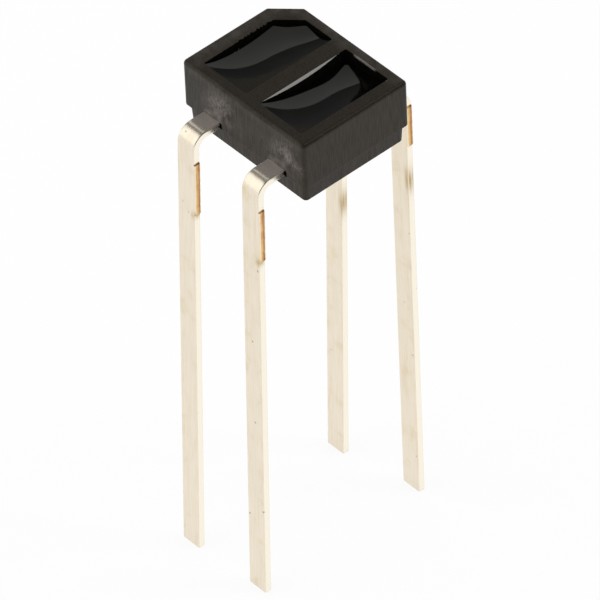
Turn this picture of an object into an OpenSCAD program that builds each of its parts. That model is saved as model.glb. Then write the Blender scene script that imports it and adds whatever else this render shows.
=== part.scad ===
// Reflective optical sensor: a moulded body with two resin windows side by side
// on top and four flat leads, which leave at the parting plane and turn down.
// The origin is the middle of the body's underside, +Z points out of the windows,
// X runs along the pair of windows and Y across the two rows of leads.

/* [Body] */
// Length of the body, along the pair of windows
body_l = 3.4; // [3.2:0.05:5]
// Width of the body, from one row of leads to the other
body_w = 2.65; // [2.4:0.05:4]
// Height of the body, from its underside to its rim
body_h = 1.51; // [1.4:0.01:2.5]
// Height of the mould's parting plane above the underside
parting_z = 0.41; // [0.3:0.01:0.6]
// Set-back of the lower half behind the upper half, at the parting plane
lower_inset = 0.065; // [0.03:0.005:0.12]
// Further set-back of the lower half at the underside, from its draft
lower_draft = 0.02; // [0:0.01:0.06]
// Radius of the rim and of the upright corners
rim_r = 0.09; // [0.05:0.01:0.12]
// Leg of the small bevel round the underside
foot_bevel = 0.02; // [0.01:0.01:0.04]
// Leg of the bevelled corner that marks the anode
corner_bevel = 0.51; // [0.3:0.01:0.7]

/* [Windows] */
// Length of one window, along the body
window_l = 1.18; // [0.9:0.02:1.25]
// Width of one window, across the body
window_w = 2.18; // [1.8:0.02:2.3]
// Thickness of the wall between the two windows
divider_t = 0.38; // [0.2:0.02:0.5]
// Shift of the pair of windows away from the bevelled corner
window_shift = 0.04; // [0:0.01:0.08]
// Leg of the bevel in the emitter window's corner
window_bevel = 0.43; // [0.2:0.01:0.5]
// Depth of the emitter's resin below the rim, at the lowest point of its dish
emitter_dish_depth = 0.15; // [0.1:0.01:0.2]
// Depth of the detector's resin below the rim, at the lowest point of its dish
detector_dish_depth = 0.29; // [0.2:0.01:0.35]
// Place of both dishes' lowest points, along the body from the window's middle
dish_low_x = -0.26; // [-0.4:0.01:0]
// Place of the emitter dish's lowest point, across the body from the window's middle
emitter_low_y = 0.25; // [0:0.05:1]
// Place of the detector dish's lowest point, across the body from the window's middle
detector_low_y = 0.7; // [0:0.05:1]
// Radius of both dishes along the body
dish_r = 2.6; // [2:0.1:4]
// Radius of both dishes across the body
dish_length_r = 6.5; // [5:0.1:10]

/* [Leads] */
// Width of the lead strip
lead_w = 0.46; // [0.3:0.02:0.6]
// Thickness of the lead strip
lead_t = 0.15; // [0.1:0.01:0.2]
// Spacing of the two leads in a row
lead_pitch = 1.82; // [1.6:0.02:2]
// Distance of the front leads' outer faces from the body's side
front_reach = 0.68; // [0.45:0.01:0.9]
// Distance of the rear leads' outer faces from the body's side
rear_reach = 0.55; // [0.45:0.01:0.9]
// Inside radius of the bend
bend_r = 0.2; // [0.1:0.01:0.25]
// Depth of the lead tips below the underside
lead_drop = 9.95; // [4:0.05:15]
// Outward lean of the anode lead from upright, in degrees
anode_lean = -2; // [-3:0.1:3]
// Outward lean of the cathode lead from upright, in degrees
cathode_lean = 2.3; // [-3:0.1:3]
// Outward lean of the collector lead from upright, in degrees
collector_lean = 0; // [-3:0.1:3]
// Outward lean of the emitter lead from upright, in degrees
emitter_lean = 1.7; // [-3:0.1:3]

/* [Tie bar stubs] */
// How far the sheared stub of a tie bar stands out from a lead's edge
stub_h = 0.03; // [0.01:0.01:0.06]
// Length of the stub on a front lead
front_stub_l = 1.22; // [0.6:0.02:1.6]
// Distance of the stub on a front lead below the bend
front_stub_drop = 0.33; // [0.05:0.01:0.6]
// Length of the stub on a rear lead
rear_stub_l = 0.96; // [0.6:0.02:1.6]
// Distance of the stub on a rear lead below the bend
rear_stub_drop = 0.03; // [0.01:0.01:0.6]

/* [Chips and wires] */
// Length along the body of the pads at the leads' inner ends
pad_l = 0.8; // [0.7:0.02:0.86]
// How far a chip's pad reaches past the middle of its window
pad_over = 0.35; // [0.3:0.01:0.4]
// Gap between a chip's pad and the bonding finger that faces it
finger_gap = 0.2; // [0.12:0.01:0.3]
// Distance from the window's wall at which a pad widens out
pad_margin = 0.2; // [0.1:0.01:0.3]
// Side of the square infrared chip
emitter_chip = 0.28; // [0.2:0.01:0.4]
// Thickness of the infrared chip
emitter_chip_t = 0.18; // [0.12:0.01:0.22]
// Side of the square phototransistor chip
detector_chip = 0.5; // [0.35:0.01:0.56]
// Thickness of the phototransistor chip
detector_chip_t = 0.22; // [0.15:0.01:0.25]
// Thickness of the silver adhesive under a chip
adhesive_t = 0.02; // [0.01:0.005:0.04]
// Width of the adhesive that shows all round a chip
adhesive_edge = 0.02; // [0.01:0.005:0.04]
// Diameter of the gold bond wire
wire_d = 0.03; // [0.02:0.005:0.05]
// Rise of the bond wire's loop above the line between its ends
wire_rise = 0.2; // [0.1:0.01:0.3]
// Diameter of the ball bond on a chip
ball_d = 0.09; // [0.07:0.01:0.12]
// Thickness of the ball bond on a chip
ball_t = 0.03; // [0.02:0.01:0.05]
// Distance of the wire's stitch from the tip of the bonding finger
stitch_inset = 0.15; // [0.1:0.01:0.25]

/* [Hidden] */
$fn = 64;
// Facets round the balls and posts that blend the body's edges
blend_fn = 32;
// Length by which a cutting tool runs past the face that it cuts
cut_over = 1;
// Thickness of the plates that hold a blended form's flat faces
plate_t = 0.01;

// Sides of the two windows and of the two rows, as signs along X and Y
emitter_side = -1;
detector_side = 1;
front = -1;
rear = 1;

// The floor of both cavities lies flush with the leads' upper faces
floor_z = parting_z + lead_t;
bend_outer_r = bend_r + lead_t;
finger_end = pad_over + finger_gap;
stitch_y = finger_end + stitch_inset;

function window_x(side) = window_shift + side * (divider_t + window_l) / 2;

// Corners of a rectangle with one bevelled corner at -X +Y, set in on all sides
function bevelled(l, w, leg, inset) =
    let (x = l / 2 - inset, y = w / 2 - inset, cut = leg - inset * (2 - sqrt(2)))
    [[x, -y], [x, y], [cut - x, y], [-x, y - cut], [-x, -y]];

// Flat plate with the body's outline, set in on all sides
module body_plate(inset, z, t) {
    translate([0, 0, z])
        linear_extrude(t)
            polygon(bevelled(body_l, body_w, corner_bevel, inset));
}

// Upper half: upright sides, rounded corners and a rounded rim
module upper_half() {
    hull() {
        body_plate(rim_r, body_h - plate_t, plate_t);
        for (p = bevelled(body_l, body_w, corner_bevel, rim_r)) {
            translate([p.x, p.y, parting_z])
                cylinder(r = rim_r, h = body_h - rim_r - parting_z, $fn = blend_fn);
            translate([p.x, p.y, body_h - rim_r])
                sphere(r = rim_r, $fn = blend_fn);
        }
    }
}

// Lower half: set back from the upper half, drafted and bevelled at the underside
module lower_half() {
    top_inset = lower_inset + rim_r;
    foot_inset = top_inset + lower_draft;
    hull() {
        for (p = bevelled(body_l, body_w, corner_bevel, top_inset))
            translate([p.x, p.y, parting_z - plate_t])
                cylinder(r = rim_r, h = plate_t, $fn = blend_fn);
        for (p = bevelled(body_l, body_w, corner_bevel, foot_inset))
            translate([p.x, p.y, 0])
                cylinder(r1 = rim_r - foot_bevel, r2 = rim_r, h = foot_bevel, $fn = blend_fn);
    }
}

// Upright prism of one cavity, from its floor to a height above the underside
module cavity(side, top_z) {
    leg = side == emitter_side ? window_bevel : 0;
    translate([window_x(side), 0, floor_z])
        linear_extrude(top_z - floor_z)
            polygon(bevelled(window_l, window_w, leg, 0));
}

// Strip of one lead inside the body, widened at its inner end: a chip's pad, which
// reaches past the middle of the window, or the shorter finger that faces it
module lead_inside(x_side, row, carries_chip) {
    tip_y = carries_chip ? pad_over : -finger_end;
    strip_x = x_side * lead_pitch / 2 - lead_w / 2;
    pad_y = -window_w / 2 + pad_margin;
    mirror([0, row == rear ? 1 : 0, 0])
        translate([0, 0, parting_z]) {
            translate([strip_x, -body_w / 2, 0])
                cube([lead_w, body_w / 2 + tip_y, lead_t]);
            translate([window_x(x_side) - pad_l / 2, pad_y, 0])
                cube([pad_l, tip_y - pad_y, lead_t]);
        }
}

// Turned stretch, straight leg and stub of one lead, about the bend's own axis
module lead_leg(lean, leg_l, stub_drop, stub_l) {
    rotate_extrude(angle = 90 - lean)
        translate([bend_r, -lead_w / 2])
            square([lead_t, lead_w]);
    rotate([0, 0, 90 - lean]) {
        translate([bend_r, 0, -lead_w / 2])
            cube([lead_t, leg_l, lead_w]);
        translate([bend_r, stub_drop, -lead_w / 2])
            cube([lead_t, stub_l, lead_w + stub_h]);
    }
}

// One whole lead: inside strip, run out of the body, bend, and leg cut off square
module lead(x_side, row, carries_chip, lean) {
    reach = row == front ? front_reach : rear_reach;
    stub_drop = row == front ? front_stub_drop : rear_stub_drop;
    stub_l = row == front ? front_stub_l : rear_stub_l;
    run = reach - bend_outer_r;
    x = x_side * lead_pitch / 2;
    leg_l = lead_drop + parting_z + cut_over;
    lead_inside(x_side, row, carries_chip);
    mirror([0, row == rear ? 1 : 0, 0])
        difference() {
            union() {
                translate([x - lead_w / 2, -body_w / 2 - run, parting_z])
                    cube([lead_w, run, lead_t]);
                translate([x, -body_w / 2 - run, parting_z - bend_r])
                    rotate([0, -90, 180])
                        lead_leg(lean, leg_l, stub_drop, stub_l);
            }
            translate([x - lead_w, -body_w - leg_l, -lead_drop - 2 * leg_l])
                cube([2 * lead_w, 2 * leg_l, 2 * leg_l]);
        }
}

// Square block on a chip's pad, centred in its window
module on_pad(side, size, bottom_z, t) {
    translate([window_x(side) - size / 2, -size / 2, bottom_z])
        cube([size, size, t]);
}

module adhesive(side, chip) {
    on_pad(side, chip + 2 * adhesive_edge, floor_z, adhesive_t);
}

module chip_block(side, chip, chip_t) {
    on_pad(side, chip, floor_z + adhesive_t, chip_t);
}

// Bond wire: a ball on the chip and an arc from it down to the facing finger,
// in the upright plane through the middle of the window
module bond_wire(side, chip_t, finger_row) {
    ball_z = floor_z + adhesive_t + chip_t;
    start_z = ball_z + ball_t;
    fall = atan2(start_z - floor_z, stitch_y);
    span = stitch_y / cos(fall);
    loop_r = (pow(span / 2, 2) + pow(wire_rise, 2)) / (2 * wire_rise);
    half_turn = 2 * atan(2 * wire_rise / span);
    past_stitch = asin(wire_d / loop_r);
    centre_y = stitch_y / 2 - (loop_r - wire_rise) * sin(fall);
    centre_z = (start_z + floor_z) / 2 - (loop_r - wire_rise) * cos(fall);
    mirror([0, finger_row == front ? 1 : 0, 0])
        translate([window_x(side), 0, 0]) {
            translate([0, 0, ball_z])
                cylinder(d = ball_d, h = ball_t);
            intersection() {
                translate([0, centre_y, centre_z])
                    rotate([0, -90, 0])
                        rotate([0, 0, fall - half_turn])
                            rotate_extrude(angle = 2 * half_turn + past_stitch)
                                translate([loop_r, 0])
                                    circle(d = wire_d);
                translate([-wire_d, -ball_d, floor_z])
                    cube([2 * wire_d, stitch_y + 2 * ball_d, body_h]);
            }
        }
}

// Barrel with its axis along Y, which leaves the resin's dished surface under it
module dish(side) {
    depth = side == emitter_side ? emitter_dish_depth : detector_dish_depth;
    low_y = side == emitter_side ? emitter_low_y : detector_low_y;
    translate([window_x(side) + dish_low_x, low_y, body_h - depth + dish_r])
        rotate([90, 0, 0])
            rotate_extrude()
                intersection() {
                    translate([dish_r - dish_length_r, 0])
                        circle(r = dish_length_r);
                    translate([0, -2 * window_w])
                        square([2 * dish_r, 4 * window_w]);
                }
}

// Moulded body with its two cavities and the leads' seats
module housing() {
    color([0.21, 0.2, 0.19])
        difference() {
            union() {
                upper_half();
                lower_half();
            }
            cavity(emitter_side, body_h + cut_over);
            cavity(detector_side, body_h + cut_over);
            lead_inside(emitter_side, rear, false);
            lead_inside(emitter_side, front, true);
            lead_inside(detector_side, rear, true);
            lead_inside(detector_side, front, false);
        }
}

module lead_anode() {
    color([0.91, 0.87, 0.8])
        lead(emitter_side, rear, false, anode_lean);
}

module lead_cathode() {
    color([0.91, 0.87, 0.8])
        lead(emitter_side, front, true, cathode_lean);
}

module lead_collector() {
    color([0.91, 0.87, 0.8])
        lead(detector_side, rear, true, collector_lean);
}

module lead_emitter() {
    color([0.91, 0.87, 0.8])
        lead(detector_side, front, false, emitter_lean);
}

module emitter_adhesive() {
    color([0.75, 0.75, 0.74])
        adhesive(emitter_side, emitter_chip);
}

module detector_adhesive() {
    color([0.75, 0.75, 0.74])
        adhesive(detector_side, detector_chip);
}

module emitter_chip_die() {
    color([0.45, 0.42, 0.4])
        chip_block(emitter_side, emitter_chip, emitter_chip_t);
}

module detector_chip_die() {
    color([0.35, 0.38, 0.45])
        chip_block(detector_side, detector_chip, detector_chip_t);
}

module emitter_bond_wire() {
    color([0.95, 0.75, 0.3])
        bond_wire(emitter_side, emitter_chip_t, rear);
}

module detector_bond_wire() {
    color([0.95, 0.75, 0.3])
        bond_wire(detector_side, detector_chip_t, front);
}

// Dark resin cast round the infrared chip
module emitter_window() {
    color([0.13, 0.13, 0.13])
        difference() {
            cavity(emitter_side, body_h);
            dish(emitter_side);
            emitter_adhesive();
            emitter_chip_die();
            emitter_bond_wire();
        }
}

// Dark resin cast round the phototransistor chip
module detector_window() {
    color([0.13, 0.13, 0.13])
        difference() {
            cavity(detector_side, body_h);
            dish(detector_side);
            detector_adhesive();
            detector_chip_die();
            detector_bond_wire();
        }
}

housing();
lead_anode();
lead_cathode();
lead_collector();
lead_emitter();
emitter_adhesive();
detector_adhesive();
emitter_chip_die();
detector_chip_die();
emitter_bond_wire();
detector_bond_wire();
emitter_window();
detector_window();
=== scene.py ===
import bmesh
import bpy
import numpy as np
from mathutils import Matrix, Vector


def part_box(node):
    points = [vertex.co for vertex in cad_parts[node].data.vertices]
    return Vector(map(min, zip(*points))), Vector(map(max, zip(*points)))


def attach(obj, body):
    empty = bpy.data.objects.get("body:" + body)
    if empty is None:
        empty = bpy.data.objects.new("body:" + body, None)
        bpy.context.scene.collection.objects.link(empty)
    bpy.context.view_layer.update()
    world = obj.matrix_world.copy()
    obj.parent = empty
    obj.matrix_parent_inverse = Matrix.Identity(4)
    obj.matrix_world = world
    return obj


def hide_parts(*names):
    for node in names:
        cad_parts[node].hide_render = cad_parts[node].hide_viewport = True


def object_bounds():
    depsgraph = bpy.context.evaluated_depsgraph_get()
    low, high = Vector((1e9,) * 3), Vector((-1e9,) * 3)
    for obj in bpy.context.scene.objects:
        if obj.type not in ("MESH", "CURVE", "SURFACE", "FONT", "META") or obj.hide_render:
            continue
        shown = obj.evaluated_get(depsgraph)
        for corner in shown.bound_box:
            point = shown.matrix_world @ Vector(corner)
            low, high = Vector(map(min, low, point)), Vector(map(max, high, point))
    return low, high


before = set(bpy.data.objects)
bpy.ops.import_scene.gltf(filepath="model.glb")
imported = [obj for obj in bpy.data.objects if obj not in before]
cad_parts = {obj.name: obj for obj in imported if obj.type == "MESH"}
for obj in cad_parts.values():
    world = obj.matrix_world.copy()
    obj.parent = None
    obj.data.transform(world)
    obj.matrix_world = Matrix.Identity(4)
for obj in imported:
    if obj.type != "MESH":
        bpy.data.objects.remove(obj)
cad_low, cad_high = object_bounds()


# Leads: four strips stamped from one frame of copper alloy and plated with matte tin.
# Each ends inside the body as a pad or a finger, leaves at the parting plane and is bent down.
# The tie bar between the strips is sheared off after plating and leaves stubs of bare copper.

MM = 0.001
body_low, body_high = (np.array(corner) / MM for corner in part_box("housing"))
body_w, body_h = (body_high - body_low)[1:]
parting_z = 0.41

strip_w = 0.46
strip_t = 0.15
strip_edge_r = 0.018
lead_pitch = 1.82
bend_r = 0.2
tip_z = cad_low.z / MM
tip_rounding = 0.02

window_l = 1.18
window_w = 2.18
divider_t = 0.38
window_shift = 0.04
window_middle = {side: window_shift + side * (divider_t + window_l) / 2 for side in (-1, 1)}

pad_l = 0.8
pad_margin = 0.2
chip_pad_tip = -0.35
finger_tip = 0.55

stub_h = 0.03
stub_ramp = 0.035
lead_rows = {
    "front": {"sign": -1, "reach": 0.68, "stub_drop": 0.33, "stub_l": 1.22},
    "rear": {"sign": 1, "reach": 0.55, "stub_drop": 0.03, "stub_l": 0.96},
}
lead_plan = {
    "lead_anode": {"side": -1, "row": "rear", "tip": finger_tip, "lean": -2.0, "smudge": (3.6, 0.3)},
    "lead_cathode": {"side": -1, "row": "front", "tip": chip_pad_tip, "lean": 2.3, "smudge": (1.57, 0.09)},
    "lead_collector": {"side": 1, "row": "rear", "tip": chip_pad_tip, "lean": 0.0, "smudge": (1.9, 0.3)},
    "lead_emitter": {"side": 1, "row": "front", "tip": finger_tip, "lean": 1.7, "smudge": (1.57, 0.09)},
}


def strip_section(half_t, edge_r, corner_points=5, flat_points=7):
    """Rounded-rectangle section of a strip, listed round from its lower right corner.

    Each point has three values: the share of the way from the left edge to the right one,
    an offset along X from that place, and a height through the thickness. A corner is a
    quarter circle, and the flats between corners are straight lines in all three values.
    """
    quarter = np.linspace(0, np.pi / 2, corner_points)
    angle = np.radians([-90, 0, 90, 180])[:, None] + quarter
    share = np.repeat([[1.0], [1.0], [0.0], [0.0]], corner_points, axis=1)
    offset = np.array([[-1], [-1], [1], [1]]) * edge_r + edge_r * np.cos(angle)
    height = np.array([[-1], [1], [1], [-1]]) * (half_t - edge_r) + edge_r * np.sin(angle)
    corners = np.stack([share, offset, height], axis=-1)
    step = np.linspace(0, 1, flat_points + 2)[1:-1, None]
    starts = corners[:, -1][:, None]
    ends = np.roll(corners[:, 0], -1, axis=0)[:, None]
    flats = starts + (ends - starts) * step
    return np.concatenate([corners, flats], axis=1).reshape(-1, 3)


def smooth_step(low, high, value):
    """Eased rise from 0 at low to 1 at high: three times the square less twice the cube."""
    share = np.clip((value - low) / (high - low), 0, 1)
    return share * share * (3 - 2 * share)


def lead_surface(side, row, tip, lean, smudge):
    """Strip section carried along one lead's path, as rings of points, with masks for its finish.

    The path lies in an upright plane: straight from the inner tip to the bend, an arc of
    a right angle less the lean, and a straight leg down to the level of the tips. The strip
    is widened to a pad at its inner end, and by the stub on its edge along the leg. Masks mark
    bare copper, how far through the strip a point lies from front to rear, the cut edges, the
    outside of the bend, burnished by the forming tool, a painted reflection of the body's wall
    on top of the strip between the body and the bend, and a smudge on one edge, by its distance
    down the leg and its reach.
    """
    row = lead_rows[row]
    lean = np.radians(lean)
    middle_r = bend_r + strip_t / 2
    middle_z = parting_z + strip_t / 2
    bend_out = body_w / 2 + row["reach"] - bend_r - strip_t
    bend_turn = np.pi / 2 - lean
    pad_end = window_w / 2 - pad_margin
    leg_start_out = bend_out + middle_r * np.sin(bend_turn)
    leg_start_z = middle_z - middle_r * (1 - np.cos(bend_turn))
    leg_l = (leg_start_z - tip_z) / np.cos(lean)

    pad = np.linspace(tip, pad_end, 12)
    run = np.linspace(pad_end, bend_out, 40)
    turn = np.linspace(0, bend_turn, 33)[1:-1]
    stub = np.linspace(-0.1, row["stub_l"] + 0.1, 90) + row["stub_drop"]
    stub = stub[stub > 0]
    leg_upper = np.linspace(0, stub[0], 8)[:-1]
    leg_lower = np.linspace(stub[-1], leg_l - tip_rounding, 110)[1:]
    leg = np.concatenate([leg_upper, stub, leg_lower, [leg_l, leg_l]])

    out = np.concatenate([[tip], pad, run, bend_out + middle_r * np.sin(turn),
                          leg_start_out + leg * np.sin(lean)])
    height = np.concatenate([np.full(len(pad) + len(run) + 1, middle_z),
                             middle_z - middle_r * (1 - np.cos(turn)),
                             leg_start_z - leg * np.cos(lean)])
    angle = np.concatenate([np.zeros(len(pad) + len(run) + 1), turn,
                            np.full(len(leg), bend_turn)])
    along_leg = np.concatenate([np.full(len(out) - len(leg), -1.0), leg])

    in_pad = np.arange(len(out)) <= len(pad)
    strip_x = side * lead_pitch / 2
    left = np.where(in_pad, window_middle[side] - pad_l / 2, strip_x - strip_w / 2)
    right = np.where(in_pad, window_middle[side] + pad_l / 2, strip_x + strip_w / 2)
    past = along_leg - row["stub_drop"]
    on_stub = (smooth_step(-stub_ramp, 0, past)
               * smooth_step(row["stub_l"] + stub_ramp, row["stub_l"], past))
    torn = 0.9 + 0.1 * np.sin(37 * past + 2) * np.sin(11 * past)
    right = right + stub_h * torn * on_stub

    section = strip_section(strip_t / 2, strip_edge_r)
    share, offset, through = section.T
    across = left[:, None] * (1 - share) + right[:, None] * share + offset
    through = np.repeat(through[None], len(out), axis=0)
    end = np.array([0, len(out) - 1])
    rounded = len(out) - 2
    middle = (left + right)[:, None] / 2
    across[end] = middle[end]
    through[end] = 0
    shrink = 1 - strip_edge_r / strip_w
    across[rounded] = middle[rounded] + (across[rounded] - middle[rounded]) * shrink
    through[rounded] *= 1 - strip_edge_r / strip_t

    y = out[:, None] + through * np.sin(angle)[:, None]
    z = height[:, None] + through * np.cos(angle)[:, None]
    slide = z[-2:] - tip_z
    y[-2:] += slide * np.tan(lean)
    z[-2:] -= slide
    rings = np.stack([across, row["sign"] * y, z], axis=-1)

    level = section[:, 2] / (strip_t / 2)
    on_side = smooth_step(0.95, 0.7, np.abs(level)) * ((share > 0.999) | (share < 0.001))
    sheared = (smooth_step(-1.5 * stub_ramp, -stub_ramp, past)
               * smooth_step(row["stub_l"] + 1.5 * stub_ramp, row["stub_l"] + stub_ramp, past))
    bare = sheared[:, None] * smooth_step(0.9, 0.6, np.abs(level)) * (share > 0.999)
    bare[-2:] = 1
    torn_share = np.repeat(0.5 + row["sign"] * level[None] / 2, len(out), axis=0)
    cut_edge = np.repeat(on_side[None], len(out), axis=0)
    # Painted reflection of the body's wall: the top of the run between the body and the bend.
    before_bend = smooth_step(bend_out + 0.03, bend_out - 0.02, out) * (along_leg < 0)
    body_reflection = before_bend[:, None] * smooth_step(0.5, 0.9, level)
    in_bend = smooth_step(-0.1, 0.05, angle) * smooth_step(bend_turn, bend_turn - 0.4, angle)
    in_bend = np.where(along_leg < 0, in_bend, 0) * (out > bend_out - 0.06)
    burnished = in_bend[:, None] * smooth_step(0.5, 0.9, level)
    smudge_at, smudge_reach = smudge
    smudged = np.exp(-((along_leg - smudge_at) / smudge_reach) ** 2)
    smudged = smudged[:, None] * smooth_step(0.75, 0.97, share)
    return rings, {"bare_copper": bare, "torn_share": torn_share, "cut_edge": cut_edge,
                   "burnished": burnished, "body_reflection": body_reflection, "smudged": smudged}


def make_piece(name, skins, masks, sharp_angle):
    """Mesh object from skins, each an array of closed rings whose quads join it to the next ring.

    Points that coincide are merged, so that seams and poles close, and the faces are then
    turned outwards. Masks are one value for each point, kept as attributes of the mesh.
    """
    points = np.concatenate([skin.reshape(-1, 3) for skin in skins]) * MM
    quads = []
    first = 0
    for skin in skins:
        rings, count = skin.shape[:2]
        index = first + np.arange(rings * count).reshape(rings, count)
        after = np.roll(index, -1, axis=1)
        quads.append(np.stack([index[:-1], after[:-1], after[1:], index[1:]], -1).reshape(-1, 4))
        first += rings * count
    mesh = bpy.data.meshes.new(name)
    mesh.from_pydata(points.tolist(), [], np.concatenate(quads).tolist())
    for mask, values in masks.items():
        layer = mesh.attributes.new(mask, "FLOAT", "POINT")
        layer.data.foreach_set("value", np.asarray(values, np.float32).ravel())
    shell = bmesh.new()
    shell.from_mesh(mesh)
    bmesh.ops.remove_doubles(shell, verts=shell.verts, dist=2e-8)
    bmesh.ops.recalc_face_normals(shell, faces=shell.faces)
    shell.to_mesh(mesh)
    shell.free()
    mesh.shade_smooth()
    mesh.set_sharp_from_angle(angle=np.radians(sharp_angle))
    piece = bpy.data.objects.new(name, mesh)
    bpy.context.scene.collection.objects.link(piece)
    return piece


def srgb(red, green, blue):
    """Linear colour of an 8-bit sRGB one, by the standard's curve."""
    value = np.array([red, green, blue]) / 255
    linear = np.where(value <= 0.04045, value / 12.92, ((value + 0.055) / 1.055) ** 2.4)
    return (*linear.tolist(), 1.0)


def add_node(tree, kind, values=None, **settings):
    """New node with its settings, and with each input given a constant or a link."""
    node = tree.nodes.new(kind)
    for key, value in settings.items():
        setattr(node, key, value)
    for key, value in (values or {}).items():
        if isinstance(value, bpy.types.NodeSocket):
            tree.links.new(value, node.inputs[key])
        else:
            node.inputs[key].default_value = value
    return node


def mix_colours(tree, factor, first, second):
    """Output of a colour mix, from the first at factor 0 to the second at factor 1."""
    return add_node(tree, "ShaderNodeMix", {0: factor, 6: first, 7: second},
                    data_type="RGBA").outputs[2]


def rescale(tree, value, from_low, from_high, to_low, to_high):
    """Output of a clamped straight-line change of one range into another."""
    return add_node(tree, "ShaderNodeMapRange", {
        "Value": value, "From Min": from_low, "From Max": from_high,
        "To Min": to_low, "To Max": to_high}).outputs["Result"]


def multiply(tree, first, second):
    """Output of a product."""
    return add_node(tree, "ShaderNodeMath", {0: first, 1: second},
                    operation="MULTIPLY").outputs[0]


def new_group(name, inputs, output):
    """Empty node group with float inputs and one float output."""
    group = bpy.data.node_groups.new(name, "ShaderNodeTree")
    for label, value in inputs.items():
        socket = group.interface.new_socket(label, in_out="INPUT", socket_type="NodeSocketFloat")
        socket.default_value = value
    group.interface.new_socket(output, in_out="OUTPUT", socket_type="NodeSocketFloat")
    return group, group.nodes.new("NodeGroupInput").outputs


def streaks_group():
    """Fine lines along Z: noise whose scale across is many times its scale along."""
    group, inputs = new_group("streaks", {"Across": 1.0, "Along": 1.0}, "Value")
    place = add_node(group, "ShaderNodeTexCoord").outputs["Object"]
    scale = add_node(group, "ShaderNodeCombineXYZ", {
        "X": inputs["Across"], "Y": inputs["Across"], "Z": inputs["Along"]}).outputs[0]
    place = add_node(group, "ShaderNodeVectorMath", {0: place, 1: scale},
                     operation="MULTIPLY").outputs[0]
    noise = add_node(group, "ShaderNodeTexNoise", {
        "Vector": place, "Scale": 1.0, "Detail": 3.0, "Roughness": 0.6}).outputs["Fac"]
    add_node(group, "NodeGroupOutput", {"Value": noise})
    return group


def specks_group():
    """Small separate spots: the middles of some cells of a cell pattern, chosen by the cell's colour."""
    group, inputs = new_group("specks", {"Scale": 1.0, "Size": 0.2, "Chance": 0.1}, "Mask")
    place = add_node(group, "ShaderNodeTexCoord").outputs["Object"]
    wobble = add_node(group, "ShaderNodeTexNoise", {
        "Vector": place, "Scale": inputs["Scale"], "Detail": 2.0}).outputs["Color"]
    shift = add_node(group, "ShaderNodeVectorMath", {0: wobble, "Scale": 0.6},
                     operation="SCALE").outputs[0]
    scaled = add_node(group, "ShaderNodeVectorMath", {0: place, "Scale": inputs["Scale"]},
                      operation="SCALE").outputs[0]
    moved = add_node(group, "ShaderNodeVectorMath", {0: scaled, 1: shift}).outputs[0]
    cells = add_node(group, "ShaderNodeTexVoronoi", {"Vector": moved, "Scale": 1.0})
    chance = add_node(group, "ShaderNodeSeparateColor", {0: cells.outputs["Color"]}).outputs[0]
    chosen = add_node(group, "ShaderNodeMath", {0: chance, 1: inputs["Chance"]},
                      operation="LESS_THAN").outputs[0]
    inner = multiply(group, inputs["Size"], 0.5)
    spot = rescale(group, cells.outputs["Distance"], inputs["Size"], inner, 0.0, 1.0)
    add_node(group, "NodeGroupOutput", {"Mask": multiply(group, spot, chosen)})
    return group


def mottle_group():
    """Soft clouds of light and dark: noise of several octaves, the same size in all directions."""
    group, inputs = new_group("mottle", {"Scale": 1.0, "Detail": 3.0}, "Value")
    place = add_node(group, "ShaderNodeTexCoord").outputs["Object"]
    noise = add_node(group, "ShaderNodeTexNoise", {
        "Vector": place, "Scale": inputs["Scale"], "Detail": inputs["Detail"]}).outputs["Fac"]
    add_node(group, "NodeGroupOutput", {"Value": noise})
    return group


def place_group(tree, group, values):
    """Output of a node group placed in a material with its own values."""
    return add_node(tree, "ShaderNodeGroup", values, node_tree=group).outputs[0]


def new_material(name):
    """Material with one Principled shader: the material, its node tree and the shader."""
    material = bpy.data.materials.new(name)
    material.use_nodes = True
    return material, material.node_tree, material.node_tree.nodes["Principled BSDF"]


streaks = streaks_group()
specks = specks_group()
mottle = mottle_group()


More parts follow.
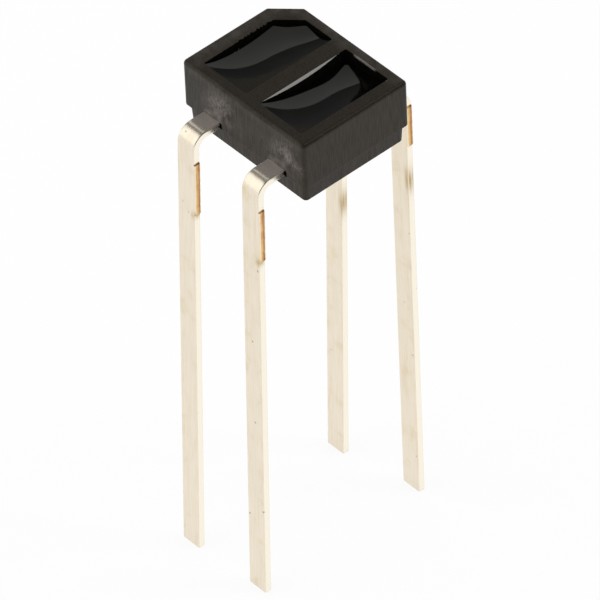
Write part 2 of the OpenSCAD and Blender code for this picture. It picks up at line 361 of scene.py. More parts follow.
def tinned_strip():
    """Matte tin with drawn streaks, faint yellow stains and dark specks.

    Masks bring in the bare copper, the smoother cut edges and bends, the smudges, and a painted
    reflection of the body's wall, dull and less metallic, on the strip next to the body.
    """
    material, tree, shader = new_material("tinned_strip")
    tin_light = srgb(242, 231, 212)
    tin_dark = srgb(236, 225, 205)
    cut_tin = srgb(252, 244, 227)
    stain = srgb(222, 202, 160)
    fleck = srgb(120, 112, 100)
    copper_light = srgb(252, 218, 156)
    copper_dark = srgb(168, 98, 40)
    smudge_colour = srgb(176, 146, 84)
    # Dull mauve-grey of the painted reflection of the body's wall on the run.
    body_reflection_colour = srgb(160, 151, 147)
    drawn = place_group(tree, streaks, {"Across": 26000.0, "Along": 900.0})
    cloud = place_group(tree, mottle, {"Scale": 2600.0, "Detail": 4.0})
    spot = place_group(tree, specks, {"Scale": 5200.0, "Size": 0.16, "Chance": 0.1})
    tin = mix_colours(tree, rescale(tree, drawn, 0.35, 0.65, 0.0, 1.0), tin_dark, tin_light)
    tin = mix_colours(tree, rescale(tree, cloud, 0.58, 0.76, 0.0, 0.4), tin, stain)
    line = place_group(tree, streaks, {"Across": 9000.0, "Along": 1300.0})
    tin = mix_colours(tree, rescale(tree, line, 0.56, 0.72, 0.0, 0.3), tin, stain)
    cut = add_node(tree, "ShaderNodeAttribute", attribute_name="cut_edge").outputs["Fac"]
    tin = mix_colours(tree, cut, tin, cut_tin)
    smudged = add_node(tree, "ShaderNodeAttribute", attribute_name="smudged").outputs["Fac"]
    smudged = multiply(tree, smudged, rescale(tree, drawn, 0.35, 0.65, 0.2, 0.9))
    tin = mix_colours(tree, smudged, tin, smudge_colour)
    tin = mix_colours(tree, multiply(tree, spot, 0.7), tin, fleck)
    torn = place_group(tree, streaks, {"Across": 30000.0, "Along": 2500.0})
    through = add_node(tree, "ShaderNodeAttribute", attribute_name="torn_share").outputs["Fac"]
    uneven = add_node(tree, "ShaderNodeMath", {0: through, 1: torn}).outputs[0]
    copper = mix_colours(tree, rescale(tree, uneven, 0.65, 1.35, 0.0, 1.0), copper_light, copper_dark)
    bare = add_node(tree, "ShaderNodeAttribute", attribute_name="bare_copper").outputs["Fac"]
    colour = mix_colours(tree, bare, tin, copper)
    # Painted reflection of the body's wall: mauve-grey and less metallic on top of the run.
    body_reflection = add_node(tree, "ShaderNodeAttribute", attribute_name="body_reflection").outputs["Fac"]
    body_reflection = multiply(tree, body_reflection, rescale(tree, drawn, 0.3, 0.7, 0.75, 1.0))
    tree.links.new(mix_colours(tree, body_reflection, colour, body_reflection_colour), shader.inputs["Base Color"])
    tree.links.new(rescale(tree, body_reflection, 0.0, 1.0, 1.0, 0.3), shader.inputs["Metallic"])
    burnished = add_node(tree, "ShaderNodeAttribute", attribute_name="burnished").outputs["Fac"]
    rough = rescale(tree, cloud, 0.3, 0.7, 0.34, 0.42)
    rough = rescale(tree, cut, 0.0, 1.0, rough, 0.22)
    rough = rescale(tree, burnished, 0.0, 1.0, rough, 0.28)
    rough = rescale(tree, bare, 0.0, 1.0, rough, 0.45)
    tree.links.new(rough, shader.inputs["Roughness"])
    bump = add_node(tree, "ShaderNodeBump", {
        "Height": drawn, "Strength": 0.05, "Distance": 0.000004})
    tree.links.new(bump.outputs["Normal"], shader.inputs["Normal"])
    return material


tin_finish = tinned_strip()
for lead_name, plan in lead_plan.items():
    lead_rings, lead_masks = lead_surface(**plan)
    lead_piece = make_piece(f"{lead_name}_strip", [lead_rings], lead_masks, 50)
    lead_piece.data.materials.append(tin_finish)
    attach(lead_piece, "root")
    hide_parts(lead_name)


# Body: black thermoset moulded round the lead frame in two halves that meet at the parting plane.
# The lower half is set back and drafted, and the upper half holds two open cavities,
# whose walls are painted black and dull as shade.
# Its walls are matte, with fine ejection streaks, and pale scuffs and haze over the leads,
# with a painted shadow beside each lead and a painted highlight along one cavity wall.

rim_r = 0.09
lower_inset = 0.065
lower_draft = 0.02
foot_r = 0.03
ledge_r = 0.008
corner_bevel = 0.51
window_bevel = 0.43
window_corner_r = 0.04
window_edge_r = 0.006
cavity_floor_z = parting_z + strip_t
edge_points = 80
arc_points = 8
torn_reach = 0.035
torn_drop = 0.08


def bevelled_corners(low, high, leg, inset, split=None):
    """Corners of a rectangle with its -X +Y corner cut off, set in on all sides, counter-clockwise.

    With a split, a point is added at that X on the -Y side, as the first, and on the +Y side.
    """
    x0, y0 = np.array(low) + inset
    x1, y1 = np.array(high) - inset
    cut = leg - inset * (2 - np.sqrt(2))
    corners = [(x1, y0), (x1, y1), (x0 + cut, y1), (x0, y1 - cut), (x0, y0)]
    if split is not None:
        corners = [(split, y0), *corners[:2], (split, y1), *corners[2:]]
    return np.array(corners)


def rounded_outline(corners, radius):
    """Closed outline through a polygon's corners, each rounded by an arc of the same radius.

    Gives one row for each corner: the points of its arc, then those of the edge to the next
    corner. An arc touches both edges at the radius times the tangent of half the turn.
    """
    edge_in = corners - np.roll(corners, 1, axis=0)
    edge_in /= np.linalg.norm(edge_in, axis=1, keepdims=True)
    edge_out = np.roll(edge_in, -1, axis=0)
    turn = np.arctan2(edge_in[:, 0] * edge_out[:, 1] - edge_in[:, 1] * edge_out[:, 0],
                      (edge_in * edge_out).sum(1))
    reach = radius * np.tan(turn / 2)
    inward = np.stack([-edge_in[:, 1], edge_in[:, 0]], -1)
    centre = corners - edge_in * reach[:, None] + inward * radius
    share = np.linspace(0, 1, arc_points)
    angle = np.arctan2(-inward[:, 1], -inward[:, 0])[:, None] + turn[:, None] * share
    arcs = centre[:, None] + radius * np.stack([np.cos(angle), np.sin(angle)], -1)
    step = np.linspace(0, 1, edge_points + 2)[1:-1, None]
    starts = arcs[:, -1][:, None]
    ends = np.roll(arcs[:, 0], -1, axis=0)[:, None]
    edges = starts + (ends - starts) * step
    return np.concatenate([arcs, edges], axis=1)


def body_ring(inset, corner_r, z):
    """Ring of the body's outline at one height, set in by a distance and with rounded corners."""
    corners = bevelled_corners(body_low[:2], body_high[:2], corner_bevel, inset, window_shift)
    outline = rounded_outline(corners, corner_r).reshape(-1, 2)
    return np.column_stack([outline, np.full(len(outline), z)])


def body_skin():
    """Outside of the body: its outline carried up a profile of insets and heights.

    The profile goes from the middle of the underside out to the foot's quarter circle, up the
    drafted lower half, out along the ledge, up the upright wall and over the rim's quarter circle.
    """
    quarter = np.linspace(0, np.pi / 2, 9)
    foot_inset = lower_inset + lower_draft
    foot = np.column_stack([foot_inset + foot_r * (1 - np.sin(quarter)),
                            foot_r * (1 - np.cos(quarter))])
    draft_z = np.linspace(foot_r, parting_z, 10)[1:]
    draft = np.column_stack([np.linspace(foot_inset, lower_inset, 10)[1:], draft_z])
    ledge = np.column_stack([ledge_r * (1 - np.sin(quarter[::2])),
                             parting_z + ledge_r * (1 - np.cos(quarter[::2]))])
    wall_z = np.linspace(parting_z + ledge_r, body_h - rim_r, 48)[1:]
    wall = np.column_stack([np.zeros(len(wall_z)), wall_z])
    rim = np.column_stack([rim_r * (1 - np.cos(quarter)), body_h - rim_r * (1 - np.sin(quarter))])
    lower = [body_ring(inset, rim_r - max(inset - foot_inset, 0), z)
             for inset, z in np.concatenate([foot, draft])]
    upper = [body_ring(inset, rim_r - inset, z)
             for inset, z in np.concatenate([ledge, wall, rim[1:]])]
    sole = lower[0] * np.linspace(0, 1, 6)[:-1, None, None]
    return np.concatenate([sole, lower, upper])


def window_corners(side, outset):
    """Corners of one window, listed as the body's half outline round it is."""
    half = np.array([window_l, window_w]) / 2
    middle = np.array([window_middle[side], 0])
    low, high = middle - half - outset, middle + half + outset
    if side > 0:
        return np.array([low, (high[0], low[1]), high, (low[0], high[1])])
    leg = window_bevel + outset * (2 - np.sqrt(2))
    return np.array([high, (low[0] + leg, high[1]), (low[0], high[1] - leg), low,
                     (high[0], low[1])])


def window_outline(side, outset):
    """Rounded outline of one window, spread outwards by a distance."""
    corners = window_corners(side, outset)
    return rounded_outline(corners, window_corner_r + outset).reshape(-1, 2)


def torn_edge(outline, share):
    """Window outline with its -X side moved outwards in small notches, by a share of their full reach.

    The notches are the positive half of a wavering sine along Y with a finer one on it.
    """
    x, y = outline.T
    on_side = smooth_step(0.03, 0, x - x.min()) * smooth_step(-0.45, -0.1, y) * smooth_step(0.64, 0.5, y)
    notch = np.clip(np.sin(61 * y + 1.6 * np.sin(17 * y)) + 0.5 * np.sin(127 * y), 0, 1)
    return np.column_stack([x - share * torn_reach * on_side * notch, y])


def rim_skin(side, top_ring):
    """Flat rim round one window, the window's rounded edge, the cavity's walls and its floor.

    The rim is a straight blend from the body's half outline, closed along the middle of the
    wall between the windows, to the window's outline. The walls go straight down from there,
    below an edge that is torn in the emitter's window.
    """
    rows = top_ring.reshape(7, -1, 3)
    half = rows[:4].copy() if side > 0 else rows[[3, 4, 5, 6, 0]].copy()
    share = np.linspace(0, 1, edge_points + 2)[1:-1, None]
    half[-1, arc_points:] = half[-1, 0] + (half[0, 0] - half[-1, 0]) * share
    outer = half.reshape(-1, 3)

    def ring(outset, z):
        """Window outline at one height, spread outwards and torn as deep as that height asks."""
        outline = window_outline(side, outset)
        if side < 0:
            outline = torn_edge(outline, smooth_step(torn_drop, 0, body_h - z))
        return np.column_stack([outline, np.full(len(outline), z)])

    inner = ring(window_edge_r, body_h)
    blend = np.linspace(0, 1, 14)[:, None, None]
    flat = outer + (inner - outer) * blend
    quarter = np.linspace(0, np.pi / 2, 6)[1:]
    edge = [ring(window_edge_r * (1 - np.sin(a)), body_h - window_edge_r * (1 - np.cos(a)))
            for a in quarter]
    wall_z = np.concatenate([np.linspace(body_h - window_edge_r, body_h - 0.12, 9)[1:],
                             np.linspace(body_h - 0.12, cavity_floor_z, 8)[1:]])
    wall = [ring(0, z) for z in wall_z]
    centre = np.array([window_middle[side], 0, cavity_floor_z])
    floor = centre + (wall[-1] - centre) * np.linspace(1, 0, 5)[1:, None, None]
    return np.concatenate([flat, edge, wall, floor])


def moulded_black():
    """Matte black moulding compound: warm dark base, upright streaks, specks, wear and haze by masks, and
    a painted shadow beside each lead.
    """
    material, tree, shader = new_material("moulded_black")
    base_dark = (0.001, 0.0009, 0.0007, 1.0)
    base_light = (0.0115, 0.0095, 0.0072, 1.0)
    grain_light = (0.03, 0.027, 0.022, 1.0)
    # Black for the painted shadow beside the leads.
    lead_shadow_black = (0.0008, 0.0006, 0.0004, 1.0)
    scuff_colour = srgb(158, 149, 144)
    # Pale grey for haze, and for the painted highlight on the detector cavity's far wall.
    haze_and_highlight_colour = srgb(150, 142, 139)
    speck_colour = srgb(150, 146, 140)
    drawn = place_group(tree, streaks, {"Across": 30000.0, "Along": 2600.0})
    cloud = place_group(tree, mottle, {"Scale": 4500.0, "Detail": 5.0})
    patch = place_group(tree, mottle, {"Scale": 2600.0, "Detail": 3.0})
    spot = place_group(tree, specks, {"Scale": 9000.0, "Size": 0.2, "Chance": 0.05})
    scratch = place_group(tree, streaks, {"Across": 32000.0, "Along": 13000.0})
    worn = add_node(tree, "ShaderNodeAttribute", attribute_name="scuffed").outputs["Fac"]
    worn = multiply(tree, worn, rescale(tree, patch, 0.38, 0.58, 0.15, 1.0))
    scuffs = multiply(tree, rescale(tree, scratch, 0.36, 0.7, 0.2, 1.0), worn)
    # Pale haze over the leads and the rim's far sides, and a painted highlight on the detector cavity's
    # far wall.
    haze_and_highlight_share = add_node(tree, "ShaderNodeAttribute", attribute_name="haze_and_highlight").outputs["Fac"]
    haze_and_highlight_share = multiply(tree, haze_and_highlight_share, rescale(tree, cloud, 0.35, 0.65, 0.3, 1.0))
    base = mix_colours(tree, rescale(tree, drawn, 0.3, 0.7, 0.0, 1.0), base_dark, base_light)
    base = mix_colours(tree, rescale(tree, cloud, 0.45, 0.75, 0.0, 0.5), base, base_light)
    grain = place_group(tree, mottle, {"Scale": 60000.0, "Detail": 3.0})
    base = mix_colours(tree, rescale(tree, grain, 0.5, 0.75, 0.0, 0.5), base, grain_light)
    base = mix_colours(tree, multiply(tree, scuffs, 0.75), base, scuff_colour)
    base = mix_colours(tree, multiply(tree, spot, 0.25), base, speck_colour)
    base = mix_colours(tree, multiply(tree, haze_and_highlight_share, 0.8), base, haze_and_highlight_colour)
    # Painted shadow beside each lead: black, dull and with no reflection.
    lead_shadow = add_node(tree, "ShaderNodeAttribute", attribute_name="lead_shadow").outputs["Fac"]
    tree.links.new(mix_colours(tree, lead_shadow, base, lead_shadow_black), shader.inputs["Base Color"])
    rough = rescale(tree, drawn, 0.3, 0.7, 0.54, 0.4)
    tree.links.new(rescale(tree, lead_shadow, 0.0, 1.0, rough, 0.9), shader.inputs["Roughness"])
    tree.links.new(rescale(tree, lead_shadow, 0.0, 1.0, 0.5, 0.0), shader.inputs["Specular IOR Level"])
    bump = add_node(tree, "ShaderNodeBump", {
        "Height": grain, "Strength": 0.25, "Distance": 0.000006})
    streaked = add_node(tree, "ShaderNodeBump", {
        "Height": drawn, "Strength": 0.3, "Distance": 0.000008,
        "Normal": bump.outputs["Normal"]})
    tree.links.new(streaked.outputs["Normal"], shader.inputs["Normal"])
    shader.inputs["IOR"].default_value = 1.4
    shader.inputs["Specular Tint"].default_value = (1.0, 0.84, 0.64, 1.0)
    return material


def painted_shade_wall():
    """Cavity wall in painted shade: black, dull, no reflection, faint cloud; a painted highlight by mask.
    """
    material, tree, shader = new_material("painted_shade_wall")
    cloud = place_group(tree, mottle, {"Scale": 9000.0, "Detail": 3.0})
    colour = mix_colours(tree, rescale(tree, cloud, 0.3, 0.7, 0.0, 1.0),
                         (0.002, 0.0018, 0.0013, 1.0), (0.005, 0.0046, 0.0034, 1.0))
    # Painted highlight along the top of the detector cavity's far wall.
    haze_and_highlight_share = add_node(tree, "ShaderNodeAttribute", attribute_name="haze_and_highlight").outputs["Fac"]
    haze_and_highlight_share = multiply(tree, haze_and_highlight_share, rescale(tree, cloud, 0.35, 0.65, 0.5, 0.9))
    tree.links.new(mix_colours(tree, haze_and_highlight_share, colour, srgb(150, 142, 139)), shader.inputs["Base Color"])
    tree.links.new(rescale(tree, cloud, 0.3, 0.7, 0.6, 0.8), shader.inputs["Roughness"])
    shader.inputs["Specular IOR Level"].default_value = 0.0
    return material


def past_lead(x):
    """Distance along X past the middle of the nearest lead, positive towards +X."""
    return x - lead_pitch / 2 * np.sign(x)


def scuff_mask(points):
    """Where the body is scuffed in strokes: faintly along the rim's upper edge, and beside the leads.

    The rim's share falls off from its outer edge. Beside a lead the share is a soft round
    bump on the wall, higher up than the lead and towards +X of it.
    """
    x, y, z = np.moveaxis(points, -1, 0)
    on_wall = smooth_step(rim_r, 0, body_w / 2 - np.abs(y))
    edge = smooth_step(0.3, 0.1, body_h - z) * on_wall
    bump = np.exp(-((past_lead(x) - 0.27) / 0.36) ** 2 - ((z - 0.92) / 0.33) ** 2)
    return np.clip(0.08 * edge + 0.9 * bump * on_wall, 0, 1)


def haze_and_highlight_mask(points):
    """Pale, even haze on a wedge over each lead and the rim's far sides, and a painted highlight on one
    wall.

    The wedge grows in height towards +X. The wall is the far one of the detector's cavity,
    just below its edge, where the pale colour is a painted highlight along its top edge.
    """
    x, y, z = np.moveaxis(points, -1, 0)
    past = past_lead(x)
    wedge_top = cavity_floor_z + 0.05 + 0.55 * (past + strip_w / 2)
    wedge = (smooth_step(0.08, -0.08, z - wedge_top) * smooth_step(-0.28, -0.16, past)
             * smooth_step(0.36, 0.2, past) * smooth_step(cavity_floor_z - 0.03, cavity_floor_z, z)
             * smooth_step(rim_r, 0, body_w / 2 - np.abs(y)))
    to_far_side = np.maximum(np.maximum(y, -x - 0.3), y - x - 1.1)
    rim = smooth_step(0.01, 0, body_h - z) * smooth_step(0.9, 1.3, to_far_side)
    far_wall = (smooth_step(0.02, 0.005, np.abs(y - window_w / 2)) * smooth_step(0.06, 0.035, body_h - z)
                * smooth_step(0.42, 0.5, x) * smooth_step(1.1, 0.95, x))
    return np.clip(0.8 * wedge + 0.13 * rim + 1.0 * far_wall, 0, 1)


def lead_shadow_mask(points):
    """Painted shadow on the walls beside the leads: a small dark patch at the edge of each that faces +X.
    """
    x, y, z = np.moveaxis(points, -1, 0)
    edge_x = np.array([-1, 1]) * lead_pitch / 2 + strip_w / 2 + 0.02
    beside = np.abs(x[..., None] - edge_x).min(-1)
    return (smooth_step(0.05, 0.015, beside) * smooth_step(0.12, 0.06, np.abs(z - parting_z - 0.07))
            * smooth_step(0.1, 0.07, body_w / 2 - np.abs(y)))


def face_places(piece):
    """Centres of a piece's faces, in millimetres, and their normals."""
    faces = piece.data.polygons
    centres = np.empty(3 * len(faces), np.float32)
    normals = np.empty(3 * len(faces), np.float32)
    faces.foreach_get("center", centres)
    faces.foreach_get("normal", normals)
    return centres.reshape(-1, 3) / MM, normals.reshape(-1, 3)


def cavity_faces(centres):
    """Faces below the windows' edges and within their outlines, notches of the torn edge included."""
    x, y, z = centres.T
    to_middle = np.abs(x[:, None] - np.array(list(window_middle.values()))).min(1)
    within = (to_middle < window_l / 2 + torn_reach) & (np.abs(y) < window_w / 2 + window_edge_r)
    return within & (z > cavity_floor_z - ledge_r) & (z < body_h - window_edge_r / 2)


outside = body_skin()
body_skins = [outside, rim_skin(-1, outside[-1]), rim_skin(1, outside[-1])]
# Masks: scuffs; haze with a painted highlight on one cavity wall; a painted shadow beside each lead.
body_masks = {
    "scuffed": np.concatenate([scuff_mask(skin).ravel() for skin in body_skins]),
    "haze_and_highlight": np.concatenate([haze_and_highlight_mask(skin).ravel() for skin in body_skins]),
    "lead_shadow": np.concatenate([lead_shadow_mask(skin).ravel() for skin in body_skins]),
}
body_piece = make_piece("moulded_body", body_skins, body_masks, 40)
# Cavity walls take the painted shade: black, dull and with no reflection.
wall_finish = painted_shade_wall()
body_piece.data.materials.append(moulded_black())
body_piece.data.materials.append(wall_finish)
in_cavity = cavity_faces(face_places(body_piece)[0])
body_piece.data.polygons.foreach_set("material_index", in_cavity.astype(np.int32))
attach(body_piece, "root")
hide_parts("housing")


# Chips: an infrared emitting chip and a phototransistor, sawn square from semiconductor wafers.
# Each sits on its lead's pad in cured silver adhesive, and a gold wire goes to the facing finger.
# They are cast into the dark resin, so they keep the shapes of the frame.


def silver_adhesive():
    """Cured silver-filled adhesive: grey paste with bright flakes."""
    material, tree, shader = new_material("silver_adhesive")
    flakes = place_group(tree, mottle, {"Scale": 90000.0, "Detail": 4.0})
    colour = mix_colours(tree, rescale(tree, flakes, 0.35, 0.65, 0.0, 1.0),
                         srgb(150, 150, 148), srgb(214, 213, 209))
    tree.links.new(colour, shader.inputs["Base Color"])
    tree.links.new(rescale(tree, flakes, 0.3, 0.7, 0.55, 0.35), shader.inputs["Roughness"])
    shader.inputs["Metallic"].default_value = 0.7
    return material


def sawn_chip(name, dark, light):
    """Sawn semiconductor: a dark tint with a faint cloud and fine upright saw marks."""
    material, tree, shader = new_material(name)
    sawn = place_group(tree, streaks, {"Across": 60000.0, "Along": 15000.0})
    colour = mix_colours(tree, rescale(tree, sawn, 0.3, 0.7, 0.0, 1.0), dark, light)
    tree.links.new(colour, shader.inputs["Base Color"])
    tree.links.new(rescale(tree, sawn, 0.3, 0.7, 0.2, 0.4), shader.inputs["Roughness"])
    return material


def gold_wire():
    """Bare gold drawn to fine wire, with faint lines along it."""
    material, tree, shader = new_material("gold_wire")
    drawn = place_group(tree, mottle, {"Scale": 120000.0, "Detail": 2.0})
    colour = mix_colours(tree, rescale(tree, drawn, 0.3, 0.7, 0.0, 1.0),
                         srgb(236, 186, 92), srgb(255, 219, 140))
    tree.links.new(colour, shader.inputs["Base Color"])
    tree.links.new(rescale(tree, drawn, 0.3, 0.7, 0.18, 0.3), shader.inputs["Roughness"])
    shader.inputs["Metallic"].default_value = 1.0
    return material


adhesive_finish = silver_adhesive()
wire_finish = gold_wire()
inner_finishes = {
    "emitter_adhesive": adhesive_finish,
    "detector_adhesive": adhesive_finish,
    "emitter_chip_die": sawn_chip("infrared_chip", srgb(92, 84, 80), srgb(122, 112, 104)),
    "detector_chip_die": sawn_chip("phototransistor_chip", srgb(70, 76, 92), srgb(98, 104, 122)),
    "emitter_bond_wire": wire_finish,
    "detector_bond_wire": wire_finish,
}
for node_name, finish in inner_finishes.items():
    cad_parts[node_name].data.materials.clear()
    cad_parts[node_name].data.materials.append(finish)


# Windows: dark epoxy that passes infrared light, poured over the chips and cured in the cavities.
# Its glossy surface is a bowl, deepest on the side of the bevelled corner and towards the rear,
# that climbs to the rim at the opposite wall and at the front, where it thins out and turns matte.

dish_plan = {
    -1: {"depth": 0.1456, "tilt": 0.0434, "low_x": -0.316, "low_turn": 0.0165, "radius": 2.65,
         "tighten": 0.069, "rear": 0.0056, "front": 0.0646, "front_y": -0.0624, "corner": 0.0585},
    1: {"depth": 0.243, "tilt": 0.113, "low_x": -0.2, "low_turn": -0.058, "radius": 2.02,
        "tighten": 0.29, "rear": 0.063, "front": 0.0435, "front_y": 0.134, "corner": 0.0},
}
corner_reach = 1.0
corner_end_reach = 0.28
dish_ease = 0.006
rim_gap = 0.001
film_w = {-1: 0.0, 1: 0.06}
film_slope = 0.7
film_middle = -0.065
film_half = 1.05


def dish(side, x, y):
    """Depth of the resin below the rim, at places given by X and Y.

    Across the window it is a parabola about a line left of the middle, tighter towards the rear.
    Along the window it is a tilted line that rises by a fourth power at the rear and by a cube at
    the front. It rises by a cube towards the bevelled corner, and by a bell curve at the rear end
    of that. Where this would pass the rim, a hyperbola eases it into the rim. A narrow sloping
    film climbs the wall between the windows, widest in the middle.
    """
    plan = dish_plan[side]
    along = (plan["depth"] + plan["tilt"] * y - plan["rear"] * np.clip(y, 0, None) ** 4
             - plan["front"] * np.clip(plan["front_y"] - y, 0, None) ** 3)
    low_x = window_middle[side] + plan["low_x"] + plan["low_turn"] * y
    depth = along - (x - low_x) ** 2 / (2 * plan["radius"] * (1 - plan["tighten"] * y))
    across = x - (window_middle[side] - window_l / 2)
    from_bevel = (across + window_w / 2 - window_bevel - y) / np.sqrt(2)
    depth -= plan["corner"] * np.clip(1 - from_bevel / corner_reach, 0, None) ** 3
    to_end = np.hypot(across - window_bevel, y - window_w / 2)
    depth -= 0.6 * plan["corner"] * np.exp(-(to_end / corner_end_reach) ** 2)
    depth = (depth + np.sqrt(depth ** 2 + 4 * dish_ease ** 2)) / 2
    film = film_w[side] * np.clip(1 - ((y - film_middle) / film_half) ** 2, 0, 1)
    depth = np.where(across < film, np.minimum(depth, film_slope * across), depth)
    return np.maximum(depth, rim_gap)


def resin_skin(side):
    """Resin of one window: the dished top from the middle to the wall, the sides and the underside.

    The top's rings are the window's outline drawn in towards the middle, with most of them
    close to the wall. Each point lies at the dish's depth below the rim. A mask marks where
    the resin is thin, close under the rim, away from the film on the wall.
    """
    outline = window_outline(side, 0)
    middle = np.array([window_middle[side], 0])
    drawn_in = np.concatenate([np.linspace(0, 0.2, 40), np.linspace(0.2, 1, 60)[1:]])
    plan = middle + (outline - middle) * (1 - drawn_in)[::-1, None, None]
    top_z = body_h - dish(side, plan[..., 0], plan[..., 1])
    top = np.concatenate([plan, top_z[..., None]], axis=-1)
    foot = np.column_stack([outline, np.full(len(outline), cavity_floor_z)])
    sides = top[-1] + (foot - top[-1]) * np.linspace(0, 1, 6)[1:, None, None]
    centre = np.array([*middle, cavity_floor_z])
    base = centre + (foot - centre) * np.linspace(1, 0, 4)[1:, None, None]
    beside_film = smooth_step(0.1, 0.2, plan[..., 0] - window_middle[side] + window_l / 2)
    thin = smooth_step(0.045, 0.004, body_h - top_z) * beside_film
    below = np.zeros((len(sides) + len(base), len(outline)))
    return np.concatenate([top, sides, base]), np.concatenate([thin, below])


def dark_resin():
    """Glossy infrared epoxy, almost black, with a faint cloud, a little dust and a soft ripple."""
    material, tree, shader = new_material("dark_resin")
    cloud = place_group(tree, mottle, {"Scale": 3000.0, "Detail": 3.0})
    dust = place_group(tree, specks, {"Scale": 14000.0, "Size": 0.12, "Chance": 0.012})
    colour = mix_colours(tree, rescale(tree, cloud, 0.3, 0.7, 0.0, 1.0),
                         (0.0008, 0.0008, 0.0007, 1.0), (0.002, 0.002, 0.0018, 1.0))
    colour = mix_colours(tree, multiply(tree, dust, 0.2), colour, srgb(120, 118, 112))
    thin = add_node(tree, "ShaderNodeAttribute", attribute_name="thinned").outputs["Fac"]
    colour = mix_colours(tree, thin, colour, (0.0105, 0.0092, 0.0066, 1.0))
    tree.links.new(colour, shader.inputs["Base Color"])
    gloss = rescale(tree, cloud, 0.3, 0.7, 0.03, 0.07)
    tree.links.new(rescale(tree, thin, 0.0, 1.0, gloss, 0.45), shader.inputs["Roughness"])
    tree.links.new(rescale(tree, thin, 0.0, 1.0, 0.5, 0.22), shader.inputs["Specular IOR Level"])
    bump = add_node(tree, "ShaderNodeBump", {
        "Height": cloud, "Strength": 0.02, "Distance": 0.00002})
    tree.links.new(bump.outputs["Normal"], shader.inputs["Normal"])
    shader.inputs["IOR"].default_value = 1.37
    shader.inputs["Specular Tint"].default_value = (1.0, 0.99, 0.93, 1.0)
    return material


resin_finish = dark_resin()
for window_name, side in {"emitter_window": -1, "detector_window": 1}.items():
    resin_rings, thinned = resin_skin(side)
    resin_piece = make_piece(f"{window_name}_resin", [resin_rings], {"thinned": thinned}, 60)
    resin_piece.data.materials.append(resin_finish)
    resin_piece.data.materials.append(wall_finish)
    # The resin's upright sides take the same painted shade.
    upright = np.abs(face_places(resin_piece)[1][:, 2]) < 0.5
    resin_piece.data.polygons.foreach_set("material_index", upright.astype(np.int32))
    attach(resin_piece, "root")
    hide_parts(window_name)


# Stage: a plain white floor at the level of the lead tips, turned up into a low white backdrop.
# What is seen of it is mostly an even white, so the object's shadow stays soft on it.
# Softboxes stand behind, low behind on the left, in front and to the right, with fill all round.

floor_r = 0.3
backdrop_r = 0.36
backdrop_h = 0.02
floor_white = srgb(247, 247, 247)
even_share = 0.9
fill_strength = 0.64
fill_gloss = 0.15
softboxes = {
    "rear_softbox": {"place": (-0.198, 0.303, 0.36), "faces": (0.266, -0.223, -0.36),
                     "size": (0.49, 0.344), "power": 0.32},
    "low_softbox": {"place": (-0.461, 0.099, 0.294), "faces": (0.266, -0.223, -0.36),
                    "size": (0.16, 0.152), "power": 0.046},
    "front_softbox": {"place": (-0.278, -0.33, 0.252), "faces": (0.278, 0.33, -0.252),
                      "size": (0.5, 0.53), "power": 0.96},
    "side_softbox": {"place": (0.273, 0.281, 0.454), "faces": (-0.273, -0.281, -0.454),
                     "size": (0.14, 0.14), "power": 0.55},
}


def floor_surface():
    """Level disc that turns up at its edge by a quarter ellipse, as rings round the middle."""
    turn = np.linspace(0, np.pi / 2, 17)
    radius = np.concatenate([[0, floor_r / 2], floor_r + (backdrop_r - floor_r) * np.sin(turn)])
    height = np.concatenate([[0, 0], backdrop_h * (1 - np.cos(turn))])
    round_angle = np.linspace(0, 2 * np.pi, 97)[:-1]
    return np.stack([radius[:, None] * np.cos(round_angle), radius[:, None] * np.sin(round_angle),
                     np.repeat(height[:, None], len(round_angle), axis=1)], axis=-1)


def white_floor():
    """White floor: a matte white that takes the shadow, mixed with an even white for what is seen."""
    material, tree, shader = new_material("white_floor")
    grain = place_group(tree, mottle, {"Scale": 40.0, "Detail": 2.0})
    shade = mix_colours(tree, rescale(tree, grain, 0.3, 0.7, 0.0, 1.0),
                        floor_white, srgb(250, 250, 250))
    tree.links.new(shade, shader.inputs["Base Color"])
    shader.inputs["Roughness"].default_value = 0.9
    shader.inputs["Specular IOR Level"].default_value = 0.0
    path = add_node(tree, "ShaderNodeLightPath").outputs
    seen = add_node(tree, "ShaderNodeMath", {
        0: path["Is Camera Ray"], 1: path["Is Glossy Ray"]}, operation="MAXIMUM").outputs[0]
    seen = add_node(tree, "ShaderNodeMath", {
        0: seen, 1: path["Is Transmission Ray"]}, operation="MAXIMUM").outputs[0]
    even = add_node(tree, "ShaderNodeEmission", {"Color": (1, 1, 1, 1), "Strength": 1.0})
    mixed = add_node(tree, "ShaderNodeMixShader", {
        0: multiply(tree, seen, even_share), 1: shader.outputs[0], 2: even.outputs[0]})
    tree.links.new(mixed.outputs[0], tree.nodes["Material Output"].inputs["Surface"])
    return material


floor_rings = floor_surface() / MM + np.array([0, 0, tip_z])
floor = make_piece("floor", [floor_rings], {}, 60)
floor.data.materials.append(white_floor())

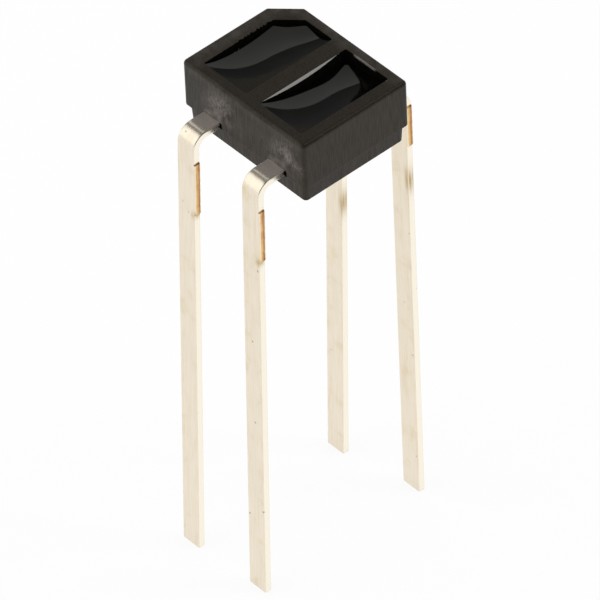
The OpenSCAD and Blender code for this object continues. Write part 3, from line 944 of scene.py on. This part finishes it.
world = bpy.data.worlds.new("soft_fill")
world.use_nodes = True
bpy.context.scene.world = world
fill = world.node_tree.nodes["Background"]
fill.inputs["Color"].default_value = (1, 1, 1, 1)
glossy = add_node(world.node_tree, "ShaderNodeLightPath").outputs["Is Glossy Ray"]
world.node_tree.links.new(rescale(world.node_tree, glossy, 0.0, 1.0, fill_strength, fill_gloss),
                          fill.inputs["Strength"])

for box_name, box in softboxes.items():
    light = bpy.data.lights.new(box_name, "AREA")
    light.shape = "RECTANGLE"
    light.size, light.size_y = box["size"]
    light.energy = box["power"]
    softbox = bpy.data.objects.new(box_name, light)
    softbox.location = box["place"]
    softbox.rotation_euler = Vector(box["faces"]).to_track_quat("-Z", "Y").to_euler()
    softbox.visible_camera = False
    bpy.context.scene.collection.objects.link(softbox)


# Camera: a long lens far off, looking down on the corner between the front and the right side.
# Its turn, height, roll and aim are the ones that lay the body's edges on the photographed ones.
# The focal length and the aim are in millimetres, and the distance is from the body's underside.

camera_azimuth = np.radians(49.8565)
camera_elevation = np.radians(43.3202)
camera_roll = np.radians(-2.6562)
camera_distance = 188.4705
camera_aim = (-0.04998, 3.21419)
focal_length = 600.0
sensor_width = 36.0

back = Vector((np.sin(camera_azimuth) * np.cos(camera_elevation),
               -np.cos(camera_azimuth) * np.cos(camera_elevation),
               np.sin(camera_elevation)))
level = Vector((np.cos(camera_azimuth), np.sin(camera_azimuth), 0))
right = level * np.cos(camera_roll) + back.cross(level) * np.sin(camera_roll)
up = back.cross(right)
turned = Matrix((right, up, back)).transposed().to_4x4()
place = (back * camera_distance - right * camera_aim[0] - up * camera_aim[1]) * MM
camera_data = bpy.data.cameras.new("camera")
camera_data.lens = focal_length
camera_data.sensor_width = sensor_width
camera_data.clip_start = 0.01
camera_data.clip_end = 10.0
camera = bpy.data.objects.new("camera", camera_data)
camera.matrix_world = Matrix.Translation(place) @ turned
bpy.context.scene.collection.objects.link(camera)
bpy.context.scene.camera = camera
bpy.context.scene.view_settings.view_transform = "Standard"
